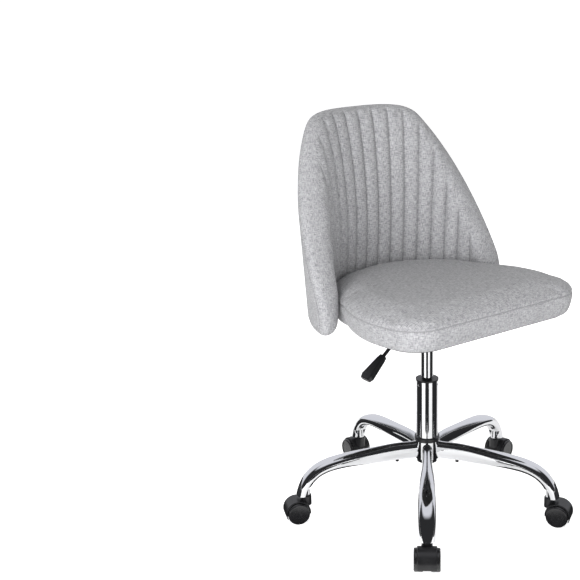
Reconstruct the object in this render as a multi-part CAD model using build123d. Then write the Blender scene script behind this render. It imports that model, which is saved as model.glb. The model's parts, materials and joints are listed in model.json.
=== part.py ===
"""Swivel office chair: five-arm base on twin-wheel casters, gas lift, padded seat and channelled back."""
import os
from math import cos, pi, radians, sin, sqrt

from build123d import *

# Millimetres, +Z up. Origin on the floor under the column axis.
# The sitter faces -Y, and the lever is on the -X side.

# Clearances
RUN = 0.05            # radial clearance of running fits
FIT = 0.05            # radial clearance of pieces fixed into each other
SIDE_PLAY = 0.2       # end play beside a moving piece
SOFT_GAP = 0.3        # gap round upholstered pieces

# Base
ARM_COUNT = 5
BASE_YAW = -40.0      # heading of the first arm, from the front of the seat
STEM_RADIUS = 288.0   # caster stems from the column axis
HUB_D = 58.0
HUB_BOTTOM = 118.0
HUB_TOP = 160.5
RING_D = 57.0
RING_HEIGHT = 8.5
ARM_WALL = 1.8
ARM_END_Z = 62.0
ARM_FULLNESS = 0.85   # exponent of the oval, 1 is an ellipse
OVAL_POINTS = 8
NOTCH_HEIGHT = 22.0   # opening in the inner wall of an arm at its stem
NOTCH_BACK = 2.0
PLUG_D = 8.0
PLUG_RADIUS = 72.0
PLUG_BOTTOM = 113.5
PLUG_HEIGHT = 9.0
# Stations of an arm: radius, height, slope in degrees, width, depth of the oval
ARM_STATIONS = (
    (22.0, 138.6, -0.5, 21.5, 42.5),
    (62.0, 138.0, -1.0, 21.5, 42.0),
    (102.0, 136.9, -2.0, 22.5, 41.0),
    (142.0, 135.3, -2.5, 28.0, 37.0),
    (180.0, 133.4, -4.0, 34.0, 32.5),
    (212.0, 130.3, -8.0, 37.0, 29.5),
    (238.0, 125.0, -16.0, 38.0, 27.5),
    (260.0, 115.5, -31.0, 38.0, 26.0),
    (278.0, 100.5, -49.0, 37.5, 25.0),
    (290.0, 82.0, -64.0, 36.5, 24.0),
    (297.0, 62.5, -72.0, 36.0, 23.5),
    (301.0, 48.0, -76.0, 36.0, 23.0),
)

# Caster
WHEEL_D = 50.0
WHEEL_WIDTH = 20.5
WHEEL_INNER = 7.5     # inner face of a wheel from the middle plane
WHEEL_EDGE_R = 3.0
RIM_RECESS_D = 39.0
RIM_RECESS = 1.0
WHEEL_BORE_DEPTH = 17.0
TRAIL = 22.0          # axle from the stem axis, outwards
HOOD_D = 57.0
HOOD_WIDTH = 42.0
HOOD_WALL = 2.4
HOOD_EDGE_R = 2.0
HOOD_TOP = 59.5
WEB_HALF = 7.0
HOOD_CUT_DROP = 7.5   # lower edge of the hood under the axle
HOOD_CUT_SLOPE = 9.0
BOSS_D = 24.0
AXLE_D = 8.0
AXLE_HALF = 24.0
STEM_D = 10.0
STEM_BOTTOM = 37.0
STEM_TOP = 90.0
SOCKET_D = 19.0
SOCKET_NECK_D = 13.5
SOCKET_CONE_TOP = 84.0
SOCKET_TOP = 96.0
SOCKET_LIFT = 0.3

# Gas lift
COLUMN_D = 50.0
COLUMN_WALL = 2.0
COLUMN_BOTTOM = 108.0
COLUMN_TOP = 306.0
COLUMN_TAPER_D = 48.6
DIMPLE_R = 4.0
DIMPLE_DEPTH = 0.9
DIMPLE_DROP = 9.0
DIMPLE_COUNT = 3
BUSH_FLANGE_D = 52.0
BUSH_FLANGE = 3.5
BUSH_LENGTH = 80.0
CYLINDER_D = 28.0
CYLINDER_WALL = 1.4
CYLINDER_BOTTOM = 222.0
CYLINDER_TOP = 447.0
CYLINDER_CAP = 7.0
TAPER_BOTTOM = 412.0
TAPER_TOP_D = 26.6
SEAL_HEIGHT = 10.0
ROD_D = 10.0
ROD_BOTTOM = 107.0
PISTON_HEIGHT = 9.0
FOOT_PLATE_Z = 112.0
FOOT_PLATE = 3.0
WASHER_D = 26.0
WASHER = 3.0
RACE_D = 24.0
RACE = 3.0
BUFFER_D = 20.0
BUFFER = 6.0
CLIP_D = 17.0
CLIP = 1.2
CLIP_DEPTH = 1.0
PLAY = 0.1            # axial gap between turning faces

# Seat plate and lever
SEAT_Z = 465.5        # underside of the seat on the column axis
SEAT_TILT = 2.3       # front edge up
COVER = 0.8
PLATE_X = 170.0
PLATE_Y = 190.0
PLATE = 3.0
PLATE_CORNER = 14.0
CUP_BOTTOM = 410.0
CUP_D = 33.0
CUP_TOP_D = 44.0
CUP_CAVITY_D = 34.0
LEVER_Z = 456.0
LEVER_D = 8.0
LEVER_END_X = 8.0
LEVER_BEND_X = -45.0
LEVER_BEND_R = 12.0
LEVER_DROP = 40.0     # slope of the outer part of the rod
LEVER_ROD_LENGTH = 130.0
LEVER_GAP = 0.1
PIVOT_X = -30.0
PIVOT_D = 5.0
SLEEVE_D = 10.0
SLEEVE_HALF = 5.0
EAR = 3.0
EAR_HALF_X = 7.0
EAR_DROP = 7.0
SLOT_BOTTOM = 448.5
BUTTON_D = 6.0
BUTTON_BOTTOM = 430.0
HANDLE_CORNER = 4.0
# Stations of the handle along the rod: distance from the bend, width, thickness
HANDLE_STATIONS = (
    (103.0, 15.0, 12.5),
    (113.0, 20.0, 14.0),
    (160.0, 32.0, 16.0),
    (169.0, 27.0, 12.0),
)

# Seat, in its own tilted frame
SEAT_HALF_WIDTH = 244.0
SEAT_FRONT = 248.0
SEAT_CORNER = 68.0
SEAT_SIDE_BULGE = 1.5
SEAT_SIDE_MID_Y = -80.0
SEAT_REAR_R = 209.0
SEAT_REAR_CENTRE = 5.0
SEAT_REAR_START = 30.0
BOARD = 12.0
BOARD_SCALE = 0.88
COVER_SCALE = 0.92
SEAM_Z = 48.0
# Rings of the lower cushion: height over the underside and size against the seam line
CUSHION_LOWER = ((0.0, 0.955), (16.0, 0.98), (32.0, 0.994), (SEAM_Z, 1.0))
CUSHION_EDGE = 25.0   # rounding of the top edge
CUSHION_CROWN = 11.0  # rise of the top from its edge to its middle
EDGE_RINGS = 4
CROWN_RINGS = 9
CROWN_SMALLEST = 0.28
BOLT_D = 6.0
BOLT_HEAD_D = 12.0
BOLT_HEAD = 4.0
BOLT_TIP = 10.0
BOLT_X = 68.0
BOLT_Y = 78.0
NUT_D = 8.0
NUT_FLANGE_D = 18.0
NUT_FLANGE = 1.5

# Back, a cone that leans forward a little
BACK_FOOT = 446.0
BACK_TOP = 895.0
BACK_R = 258.0        # outer radius at the frame of the back
BACK_FLARE = 0.085    # growth of the radius with height
BACK_LEAN = 2.86
BACK_CENTRE_Y = 10.0
BACK_FRAME_Z = 465.0
BACK_ARC = 210.0
BACK_SPARE = 20.0     # extra height of the cone beyond the outline
BACK_THICK = 32.0
LUMBAR = 28.0
REAR_PANEL = 6.0
SHELL = 9.0
SHELL_INSET = 14.0
PANEL_INSET = 18.0
EDGE_R = 15.0
WING_FRONT = 30.0
WING_TURN_Z = 529.0
WING_TURN_R = 150.0
WING_SLOPE = 0.555    # run of the slanted edge for each step of height
TOP_CORNER_R = 50.0
FOOT_CORNER_R = 32.0
SEAM_COUNT = 17
SEAM_PITCH = 8.6      # degrees between sewn channels
CHANNEL_WIDTH = 27.0
CHANNEL_DEPTH = 6.0
CHANNEL_SWEEP = 13.5  # half angle of a channel along the curved inner face

# Brackets that hold the back
BRACKET_ANGLE = 17.0
BRACKET_WIDTH = 30.0
BRACKET_START = 125.0
BRACKET_RISE = 52.0
BRACKET_SEATED = 1.2
BRACKET_BOLTS = (140.0, 168.0)
BACK_BOLTS = (17.0, 39.0)
BACK_BOLT_REACH = 6.5
POCKET = 0.5

REACH = 500.0         # larger than the chair, for cutting tools
STANDING = (Align.CENTER, Align.CENTER, Align.MIN)
PARTS = {}


def rod(diameter, low, high, x=0.0, y=0.0):
    return Pos(x, y, low) * Cylinder(diameter / 2, high - low, align=STANDING)


def taper(low_d, high_d, low, high):
    return Pos(0, 0, low) * Cone(low_d / 2, high_d / 2, high - low, align=STANDING)


def block(x0, x1, y0, y1, z0, z1):
    box = Box(x1 - x0, y1 - y0, z1 - z0, align=(Align.MIN, Align.MIN, Align.MIN))
    return Pos(x0, y0, z0) * box


def cross_rod(diameter, half, x, z):
    return Pos(x, 0, z) * Cylinder(diameter / 2, 2 * half, rotation=(90, 0, 0))


def largest(shape):
    return shape.solids().sort_by(SortBy.VOLUME)[-1]


def arm_turn(index):
    return BASE_YAW - 90.0 + index * 360.0 / ARM_COUNT


# Base: hub, bent oval arms, stem sockets and stems
def arm_ring(station, wall):
    radius, height, slope, width, depth = station
    axis = (cos(radians(slope)), 0, sin(radians(slope)))
    plane = Plane(origin=(radius, 0, height), x_dir=(0, 1, 0), z_dir=axis)
    points = []
    for step in range(OVAL_POINTS):
        angle = 2 * pi * step / OVAL_POINTS
        across = abs(cos(angle)) ** ARM_FULLNESS * (1 if cos(angle) > 0 else -1)
        along = abs(sin(angle)) ** ARM_FULLNESS * (1 if sin(angle) > 0 else -1)
        corner = Vector((width / 2 - wall) * across, (depth / 2 - wall) * along, 0)
        points.append(plane.from_local_coords(corner))
    return Wire([Spline(*points, periodic=True).edge()])


def make_arm():
    outer = Solid.make_loft([arm_ring(station, 0.0) for station in ARM_STATIONS])
    inner = Solid.make_loft([arm_ring(station, ARM_WALL) for station in ARM_STATIONS])
    below = block(-REACH, REACH, -REACH, REACH, -REACH, ARM_END_Z)
    notch = block(0, STEM_RADIUS - NOTCH_BACK, -REACH, REACH, ARM_END_Z, ARM_END_Z + NOTCH_HEIGHT)
    hub = rod(HUB_D, 0, REACH)
    plug_hole = rod(PLUG_D + 2 * FIT, PLUG_BOTTOM, PLUG_BOTTOM + PLUG_HEIGHT, PLUG_RADIUS)
    socket_hole = rod(SOCKET_D + 2 * FIT, ARM_END_Z, SOCKET_CONE_TOP, STEM_RADIUS)
    socket_hole += rod(SOCKET_NECK_D + 2 * FIT, SOCKET_CONE_TOP, SOCKET_TOP + FIT, STEM_RADIUS)
    return largest(outer - inner - below - notch - hub - plug_hole - socket_hole)


arm = make_arm()
socket = taper(SOCKET_D, SOCKET_NECK_D, ARM_END_Z + SOCKET_LIFT, SOCKET_CONE_TOP)
socket += rod(SOCKET_NECK_D, SOCKET_CONE_TOP, SOCKET_TOP)
socket = Pos(STEM_RADIUS, 0, 0) * (socket - rod(STEM_D + 2 * FIT, ARM_END_Z, STEM_TOP + FIT))
stem = rod(STEM_D, STEM_BOTTOM, STEM_TOP, STEM_RADIUS)
plug = rod(PLUG_D, PLUG_BOTTOM, PLUG_BOTTOM + PLUG_HEIGHT, PLUG_RADIUS)

sockets = []
stems = []
plugs = []
for number in range(ARM_COUNT):
    turn = Rot(0, 0, arm_turn(number))
    PARTS[f"base_arm_{number + 1}"] = turn * arm
    sockets.append(turn * socket)
    stems.append(turn * stem)
    plugs.append(turn * plug)
PARTS["stem_sockets"] = Compound(children=sockets)
PARTS["caster_stems"] = Compound(children=stems)
PARTS["arm_plugs"] = Compound(children=plugs)

ring_top = HUB_TOP + RING_HEIGHT
column_bore = COLUMN_D - 2 * COLUMN_WALL
hub_bore = taper(COLUMN_TAPER_D + 2 * FIT, COLUMN_D + 2 * FIT, COLUMN_BOTTOM, HUB_TOP)
PARTS["base_hub"] = rod(HUB_D, HUB_BOTTOM, HUB_TOP) - hub_bore
PARTS["hub_ring"] = rod(RING_D, HUB_TOP, ring_top) - rod(COLUMN_D + 2 * FIT, HUB_TOP, ring_top)

# Gas lift: outer column, guide bush, footplate, piston rod, inner cylinder
column = taper(COLUMN_TAPER_D, COLUMN_D, COLUMN_BOTTOM, HUB_TOP) + rod(COLUMN_D, HUB_TOP, COLUMN_TOP)
column -= rod(column_bore, COLUMN_BOTTOM, COLUMN_TOP)
for number in range(DIMPLE_COUNT):
    dimple_centre = Pos(DIMPLE_DEPTH - DIMPLE_R - COLUMN_D / 2, 0, COLUMN_TOP - DIMPLE_DROP)
    column -= Rot(0, 0, number * 360.0 / DIMPLE_COUNT) * dimple_centre * Sphere(DIMPLE_R)
PARTS["column_tube"] = column

bush_top = COLUMN_TOP + BUSH_FLANGE
bush = rod(column_bore - 2 * FIT, COLUMN_TOP - BUSH_LENGTH, COLUMN_TOP)
bush += rod(BUSH_FLANGE_D, COLUMN_TOP, bush_top)
PARTS["guide_bush"] = bush - rod(CYLINDER_D + 2 * RUN, COLUMN_TOP - BUSH_LENGTH, bush_top)

foot_top = FOOT_PLATE_Z + FOOT_PLATE
washer_top = foot_top + WASHER
race_bottom = washer_top + PLAY
race_top = race_bottom + RACE
buffer_top = race_top + BUFFER
piston_bottom = CYLINDER_BOTTOM + SEAL_HEIGHT + SOFT_GAP
piston_top = piston_bottom + PISTON_HEIGHT
clip_top = FOOT_PLATE_Z - PLAY
cylinder_bore = CYLINDER_D - 2 * CYLINDER_WALL
rod_hole = rod(ROD_D + 2 * RUN, 0, REACH)
rod_seat = rod(ROD_D + 2 * FIT, 0, REACH)
clip_ring = rod(CLIP_D, clip_top - CLIP, clip_top)
clip_bore = rod(ROD_D - 2 * CLIP_DEPTH + 2 * FIT, clip_top - CLIP, clip_top)
groove = rod(CLIP_D, clip_top - CLIP - FIT, clip_top + FIT) - rod(ROD_D - 2 * CLIP_DEPTH, 0, REACH)
PARTS["column_footplate"] = rod(column_bore - 2 * FIT, FOOT_PLATE_Z, foot_top) - rod_hole
PARTS["thrust_washer"] = rod(WASHER_D, foot_top, washer_top) - rod_hole
PARTS["piston_rod"] = rod(ROD_D, ROD_BOTTOM, piston_top) - groove
PARTS["rod_clip"] = clip_ring - clip_bore
PARTS["rod_race"] = rod(RACE_D, race_bottom, race_top) - rod_seat
PARTS["rod_buffer"] = rod(BUFFER_D, race_top, buffer_top) - rod_seat
PARTS["piston_head"] = rod(cylinder_bore - 2 * RUN, piston_bottom, piston_top) - rod_seat

cylinder = rod(CYLINDER_D, CYLINDER_BOTTOM, TAPER_BOTTOM)
cylinder += taper(CYLINDER_D, TAPER_TOP_D, TAPER_BOTTOM, CYLINDER_TOP)
cylinder -= rod(cylinder_bore, CYLINDER_BOTTOM, CYLINDER_TOP - CYLINDER_CAP)
cylinder -= rod(BUTTON_D + 2 * RUN, CYLINDER_TOP - CYLINDER_CAP, CYLINDER_TOP)
PARTS["gas_cylinder"] = cylinder
seal_ring = rod(cylinder_bore - 2 * FIT, CYLINDER_BOTTOM, CYLINDER_BOTTOM + SEAL_HEIGHT)
PARTS["cylinder_seal"] = seal_ring - rod_hole
PARTS["release_button"] = rod(BUTTON_D, BUTTON_BOTTOM, LEVER_Z - LEVER_D / 2 - LEVER_GAP)

# Caster, built about its stem with the axle trailing along +X
axle_z = WHEEL_D / 2


def make_hood():
    hood = Cylinder(HOOD_D / 2, HOOD_WIDTH, rotation=(90, 0, 0))
    hood = fillet(hood.edges().filter_by(GeomType.CIRCLE), HOOD_EDGE_R)
    lower = block(-REACH, REACH, -REACH, REACH, -REACH, -HOOD_CUT_DROP)
    hood -= Rot(0, HOOD_CUT_SLOPE, 0) * lower
    hood += rod(BOSS_D, STEM_BOTTOM - axle_z, HOOD_TOP - axle_z, -TRAIL)
    for side in (-1, 1):
        well = Cylinder(HOOD_D / 2 - HOOD_WALL, REACH, rotation=(90, 0, 0))
        hood -= Pos(0, side * (WEB_HALF + REACH / 2), 0) * well
    hood -= cross_rod(AXLE_D + 2 * FIT, REACH, 0, 0)
    hood -= rod(STEM_D + 2 * RUN, STEM_BOTTOM - axle_z - SIDE_PLAY, REACH, -TRAIL)
    return largest(Pos(TRAIL, 0, axle_z) * hood)


def make_wheel(side):
    wheel = Cylinder(WHEEL_D / 2, WHEEL_WIDTH)
    wheel = fillet(wheel.edges().filter_by(GeomType.CIRCLE), WHEEL_EDGE_R)
    wheel -= Pos(0, 0, WHEEL_WIDTH / 2) * Cylinder(RIM_RECESS_D / 2, 2 * RIM_RECESS)
    bore_low = -WHEEL_WIDTH / 2
    wheel -= rod(AXLE_D + 2 * RUN, bore_low, bore_low + WHEEL_BORE_DEPTH)
    middle = side * (WHEEL_INNER + WHEEL_WIDTH / 2)
    return Pos(TRAIL, middle, axle_z) * Rot(-90 * side, 0, 0) * wheel


hood = make_hood()
wheels = {"left": make_wheel(1), "right": make_wheel(-1)}
axle = cross_rod(AXLE_D, AXLE_HALF, TRAIL, axle_z)
for number in range(ARM_COUNT):
    place = Rot(0, 0, arm_turn(number)) * Pos(STEM_RADIUS, 0, 0)
    PARTS[f"caster_hood_{number + 1}"] = place * hood
    PARTS[f"caster_axle_{number + 1}"] = place * axle
    for side_name, wheel in wheels.items():
        PARTS[f"wheel_{side_name}_{number + 1}"] = place * wheel

# Seat: outline, board, cushion, cover, plate and bolts in the tilted frame
seat_frame = Pos(0, 0, SEAT_Z) * Rot(-SEAT_TILT, 0, 0)


def seat_ring(scale, height):
    rear_y = SEAT_REAR_START
    rear_x = sqrt(SEAT_REAR_R ** 2 - (rear_y - SEAT_REAR_CENTRE) ** 2)
    rear_top = (0, SEAT_REAR_CENTRE + SEAT_REAR_R)
    front_y = -SEAT_FRONT
    corner_y = front_y + SEAT_CORNER
    corner_x = SEAT_HALF_WIDTH - SEAT_CORNER
    swing = SEAT_CORNER * (1 - sqrt(0.5))
    side_x = SEAT_HALF_WIDTH + SEAT_SIDE_BULGE
    edges = [
        Line((-corner_x, front_y), (corner_x, front_y)),
        ThreePointArc(
            (corner_x, front_y), (SEAT_HALF_WIDTH - swing, front_y + swing), (SEAT_HALF_WIDTH, corner_y)
        ),
        ThreePointArc((SEAT_HALF_WIDTH, corner_y), (side_x, SEAT_SIDE_MID_Y), (rear_x, rear_y)),
        ThreePointArc((rear_x, rear_y), rear_top, (-rear_x, rear_y)),
        ThreePointArc((-rear_x, rear_y), (-side_x, SEAT_SIDE_MID_Y), (-SEAT_HALF_WIDTH, corner_y)),
        ThreePointArc(
            (-SEAT_HALF_WIDTH, corner_y), (swing - SEAT_HALF_WIDTH, front_y + swing), (-corner_x, front_y)
        ),
    ]
    ring = Wire([edge.edge() for edge in edges])
    return Pos(0, 0, height) * ring.scale(scale)


def seat_slab(scale, low, high):
    return extrude(Face(seat_ring(scale, low)), high - low, dir=(0, 0, 1))


def bolt_spots():
    spots = [Pos(x, y, 0) for x in (-BOLT_X, BOLT_X) for y in (-BOLT_Y, BOLT_Y)]
    for side in (-1, 1):
        bracket_turn = Pos(0, SEAT_REAR_CENTRE, 0) * Rot(0, 0, side * BRACKET_ANGLE)
        spots += [bracket_turn * Pos(0, y, 0) for y in BRACKET_BOLTS]
    return spots


plate_bottom = -COVER - PLATE
bolt = rod(BOLT_D, plate_bottom, BOLT_TIP) + rod(BOLT_HEAD_D, plate_bottom - BOLT_HEAD, plate_bottom)
bolt_hole = rod(BOLT_D + 2 * FIT, plate_bottom, BOARD)
nut = rod(NUT_D, 0, BOARD) + rod(NUT_FLANGE_D, BOARD - NUT_FLANGE, BOARD) - bolt_hole
nut_hole = rod(NUT_D + 2 * FIT, 0, BOARD) + rod(NUT_FLANGE_D + 2 * FIT, BOARD - NUT_FLANGE, BOARD)
board = seat_slab(BOARD_SCALE, 0, BOARD)
cover = seat_slab(COVER_SCALE, -COVER, 0)
for spot in bolt_spots():
    board -= spot * nut_hole
    cover -= spot * bolt_hole


def crown_rings():
    insets = [CUSHION_EDGE * (1 - cos(pi / 2 * step / EDGE_RINGS)) for step in range(EDGE_RINGS + 1)]
    flat = SEAT_HALF_WIDTH * (1 - CROWN_SMALLEST) - CUSHION_EDGE
    insets += [CUSHION_EDGE + flat * (step + 1) / CROWN_RINGS for step in range(CROWN_RINGS)]
    rings = []
    for inset in insets:
        rest = max(0.0, 1 - inset / CUSHION_EDGE)
        rounded = CUSHION_EDGE * sqrt(1 - rest ** 2)
        crowned = CUSHION_CROWN * (1 - (1 - inset / SEAT_HALF_WIDTH) ** 2)
        rings.append(seat_ring(1 - inset / SEAT_HALF_WIDTH, SEAM_Z + rounded + crowned))
    return rings


cushion = Solid.make_loft([seat_ring(scale, height) for height, scale in CUSHION_LOWER])
cushion += Solid.make_loft(crown_rings())
cushion -= extrude(offset(Face(seat_ring(BOARD_SCALE, 0)), SOFT_GAP), BOARD + SOFT_GAP, dir=(0, 0, 1))
PARTS["seat_cushion"] = seat_frame * largest(cushion)
PARTS["seat_board"] = seat_frame * board
PARTS["seat_dust_cover"] = seat_frame * cover
PARTS["seat_bolts"] = Compound(children=[seat_frame * spot * bolt for spot in bolt_spots()])
PARTS["seat_tee_nuts"] = Compound(children=[seat_frame * spot * nut for spot in bolt_spots()])

# Seat plate with its taper cup, and the lever that presses the release button
plate = extrude(RectangleRounded(PLATE_X, PLATE_Y, PLATE_CORNER), PLATE)
plate = seat_frame * Pos(0, 0, plate_bottom) * plate
for spot in bolt_spots():
    plate -= seat_frame * spot * bolt_hole
over_plate = seat_frame * block(-REACH, REACH, -REACH, REACH, plate_bottom, REACH)
cup = taper(CUP_D, CUP_TOP_D, CUP_BOTTOM, SEAT_Z)
for side in (-1, 1):
    ear_y = side * (SLEEVE_HALF + SIDE_PLAY + EAR / 2)
    ear = Box(2 * EAR_HALF_X, EAR, SEAT_Z - LEVER_Z + EAR_DROP, align=STANDING)
    cup += Pos(PIVOT_X, ear_y, LEVER_Z - EAR_DROP) * ear
bore = taper(CYLINDER_D + 2 * FIT, TAPER_TOP_D + 2 * FIT, TAPER_BOTTOM, CYLINDER_TOP)
bore += rod(CYLINDER_D + 2 * FIT, CUP_BOTTOM, TAPER_BOTTOM) + rod(CUP_CAVITY_D, CYLINDER_TOP, SEAT_Z)
slot_half = SLEEVE_HALF + SIDE_PLAY
slot = block(PIVOT_X - EAR_HALF_X - SIDE_PLAY, 0, -slot_half, slot_half, SLOT_BOTTOM, SEAT_Z)
cup = cup - bore - slot - over_plate - cross_rod(PIVOT_D + 2 * FIT, REACH, PIVOT_X, LEVER_Z)
PARTS["seat_plate"] = largest(plate + cup)
PARTS["lever_pin"] = cross_rod(PIVOT_D, SLEEVE_HALF + SIDE_PLAY + EAR, PIVOT_X, LEVER_Z)

drop = radians(LEVER_DROP)
rod_end_x = LEVER_BEND_X - LEVER_ROD_LENGTH * cos(drop)
rod_end_z = LEVER_Z - LEVER_ROD_LENGTH * sin(drop)
lever_path = FilletPolyline(
    (LEVER_END_X, 0, LEVER_Z), (LEVER_BEND_X, 0, LEVER_Z), (rod_end_x, 0, rod_end_z), radius=LEVER_BEND_R
)
lever_start = Plane(origin=(LEVER_END_X, 0, LEVER_Z), z_dir=(-1, 0, 0))
lever = sweep(lever_start * Circle(LEVER_D / 2), path=lever_path)
lever += cross_rod(SLEEVE_D, SLEEVE_HALF, PIVOT_X, LEVER_Z)
PARTS["lever_rod"] = lever - cross_rod(PIVOT_D + 2 * RUN, REACH, PIVOT_X, LEVER_Z)

handle_rings = []
for distance, width, thickness in HANDLE_STATIONS:
    centre = (LEVER_BEND_X - distance * cos(drop), 0, LEVER_Z - distance * sin(drop))
    ring_plane = Plane(origin=centre, x_dir=(0, 1, 0), z_dir=(-cos(drop), 0, -sin(drop)))
    handle_rings.append((ring_plane * RectangleRounded(width, thickness, HANDLE_CORNER)).wire())
handle = Solid.make_loft(handle_rings, ruled=True)
bend_plane = Plane(origin=(LEVER_BEND_X, 0, LEVER_Z), x_dir=(0, 1, 0), z_dir=(-cos(drop), 0, -sin(drop)))
rod_hollow = bend_plane * rod(LEVER_D + 2 * FIT, 0, LEVER_ROD_LENGTH + FIT)
PARTS["lever_handle"] = handle - rod_hollow

# Back: padded envelope on a cone, cut by its side outline, with sewn channels inside
back_frame = Pos(0, BACK_CENTRE_Y, BACK_FRAME_Z) * Rot(BACK_LEAN, 0, 0)
back_low = BACK_FOOT - BACK_FRAME_Z - BACK_SPARE
back_high = BACK_TOP - BACK_FRAME_Z + BACK_SPARE


def back_radius(height, depth):
    return BACK_R + BACK_FLARE * height - depth


def revolved(profile):
    solid = revolve(profile, Axis.Z, revolution_arc=BACK_ARC)
    return back_frame * Rot(0, 0, 90.0 - BACK_ARC / 2) * solid


def back_band(outer, inner):
    corners = [
        (back_radius(back_low, outer), back_low),
        (back_radius(back_high, outer), back_high),
        (back_radius(back_high, inner), back_high),
        (back_radius(back_low, inner), back_low),
    ]
    return revolved(Plane.XZ * make_face(Polyline(*corners, close=True)))


def nearest(face, x, y):
    return min(face.vertices(), key=lambda vertex: (vertex.X - x) ** 2 + (vertex.Y - y) ** 2)


def back_prism(inset):
    top_front = WING_FRONT + WING_SLOPE * (BACK_TOP - WING_TURN_Z)
    outline = Polyline(
        (WING_FRONT, BACK_FOOT),
        (WING_FRONT, WING_TURN_Z),
        (top_front, BACK_TOP),
        (REACH, BACK_TOP),
        (REACH, BACK_FOOT),
        close=True,
    )
    face = make_face(outline)
    face = fillet(nearest(face, WING_FRONT, BACK_FOOT), FOOT_CORNER_R)
    face = fillet(nearest(face, WING_FRONT, WING_TURN_Z), WING_TURN_R)
    face = fillet(nearest(face, top_front, BACK_TOP), TOP_CORNER_R)
    if inset:
        face = offset(face, -inset)
    return extrude(Plane.YZ * face, REACH, both=True)


mid_height = (back_low + back_high) / 2
inner_low = Vector(back_radius(back_low, BACK_THICK), 0, back_low)
inner_mid = Vector(back_radius(mid_height, BACK_THICK + LUMBAR), 0, mid_height)
inner_high = Vector(back_radius(back_high, BACK_THICK), 0, back_high)
outer_low = Vector(back_radius(back_low, 0), 0, back_low)
outer_high = Vector(back_radius(back_high, 0), 0, back_high)
envelope_edges = [
    Line(outer_low, outer_high),
    Line(outer_high, inner_high),
    ThreePointArc(inner_high, inner_mid, inner_low),
    Line(inner_low, outer_low),
]
envelope = largest(revolved(Face(Wire([edge.edge() for edge in envelope_edges]))) & back_prism(0.0))


def face_edges(solid, near):
    wall = max(solid.faces(), key=lambda face: face.area if near(face) else 0.0)
    return wall.edges()


def is_outer(face):
    return face.geom_type == GeomType.CONE


def is_inner(face):
    return face.geom_type == GeomType.TORUS


envelope = envelope.fillet(EDGE_R, face_edges(envelope, is_outer))
envelope = envelope.fillet(EDGE_R, face_edges(envelope, is_inner))

# Sewn channels: one hollow along each seam line of the inner face
inner_arc = ThreePointArc(inner_low, inner_mid, inner_high)
bend_axis = Axis(inner_arc.arc_center, (0, 1, 0))
channel_lines = [
    Line((-CHANNEL_WIDTH / 2, CHANNEL_DEPTH), (-CHANNEL_WIDTH / 2, 0)),
    ThreePointArc((-CHANNEL_WIDTH / 2, 0), (-CHANNEL_WIDTH / 4, -CHANNEL_DEPTH / 4), (0, -CHANNEL_DEPTH)),
    ThreePointArc((0, -CHANNEL_DEPTH), (CHANNEL_WIDTH / 4, -CHANNEL_DEPTH / 4), (CHANNEL_WIDTH / 2, 0)),
    Line((CHANNEL_WIDTH / 2, 0), (CHANNEL_WIDTH / 2, CHANNEL_DEPTH)),
    Line((CHANNEL_WIDTH / 2, CHANNEL_DEPTH), (-CHANNEL_WIDTH / 2, CHANNEL_DEPTH)),
]
channel_along = (inner_high - inner_low).normalized()
channel_plane = Plane(origin=inner_mid, x_dir=(0, 1, 0), z_dir=channel_along)
channel_face = channel_plane * Face(Wire([line.edge() for line in channel_lines]))
channel_start = channel_face.rotate(bend_axis, -CHANNEL_SWEEP)
channel = revolve(channel_start, bend_axis, revolution_arc=2 * CHANNEL_SWEEP)
for number in range(SEAM_COUNT):
    seam_turn = 90.0 + (number - (SEAM_COUNT - 1) / 2) * SEAM_PITCH
    envelope = largest(envelope - back_frame * Rot(0, 0, seam_turn) * channel)

# Shell and rear panel inside the envelope, brackets under the seat board
shell_depth = REAR_PANEL + SHELL
shell = largest(back_band(REAR_PANEL, shell_depth) & back_prism(SHELL_INSET))
panel = largest(back_band(0.0, REAR_PANEL - SOFT_GAP) & back_prism(PANEL_INSET))
shell_room = back_band(REAR_PANEL - SOFT_GAP, shell_depth + SOFT_GAP) & back_prism(SHELL_INSET - SOFT_GAP)
panel_room = back_band(-BACK_THICK, REAR_PANEL) & back_prism(PANEL_INSET - SOFT_GAP)
pad = envelope - shell_room - panel_room

leg_back = back_radius(0.0, shell_depth) + (BACK_CENTRE_Y - SEAT_REAR_CENTRE) * cos(radians(BRACKET_ANGLE))
leg_back += BRACKET_SEATED
leg_front = leg_back - PLATE
half_width = BRACKET_WIDTH / 2
room = half_width + POCKET
foot = block(-half_width, half_width, BRACKET_START, leg_back, plate_bottom, -COVER)
leg = block(-half_width, half_width, leg_front, leg_back, plate_bottom, BRACKET_RISE)
bracket = foot + leg
pocket_front = leg_front - BOLT_HEAD - POCKET
pocket_low = plate_bottom - POCKET
pocket = block(-room, room, pocket_front, leg_back + POCKET, pocket_low, BRACKET_RISE + POCKET)
pocket += block(-room, room, BRACKET_START, leg_back, pocket_low, POCKET)
leg_bolts = []
for y in BRACKET_BOLTS:
    bracket -= Pos(0, y, 0) * bolt_hole
for z in BACK_BOLTS:
    along = Plane(origin=(0, leg_front, z), z_dir=(0, 1, 0))
    bracket -= along * rod(BOLT_D + 2 * FIT, 0, PLATE)
    leg_bolts.append(along * (rod(BOLT_D, 0, PLATE + BACK_BOLT_REACH) + rod(BOLT_HEAD_D, -BOLT_HEAD, 0)))
    leg += along * rod(BOLT_D + 2 * FIT, 0, PLATE + BACK_BOLT_REACH + FIT)

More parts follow.
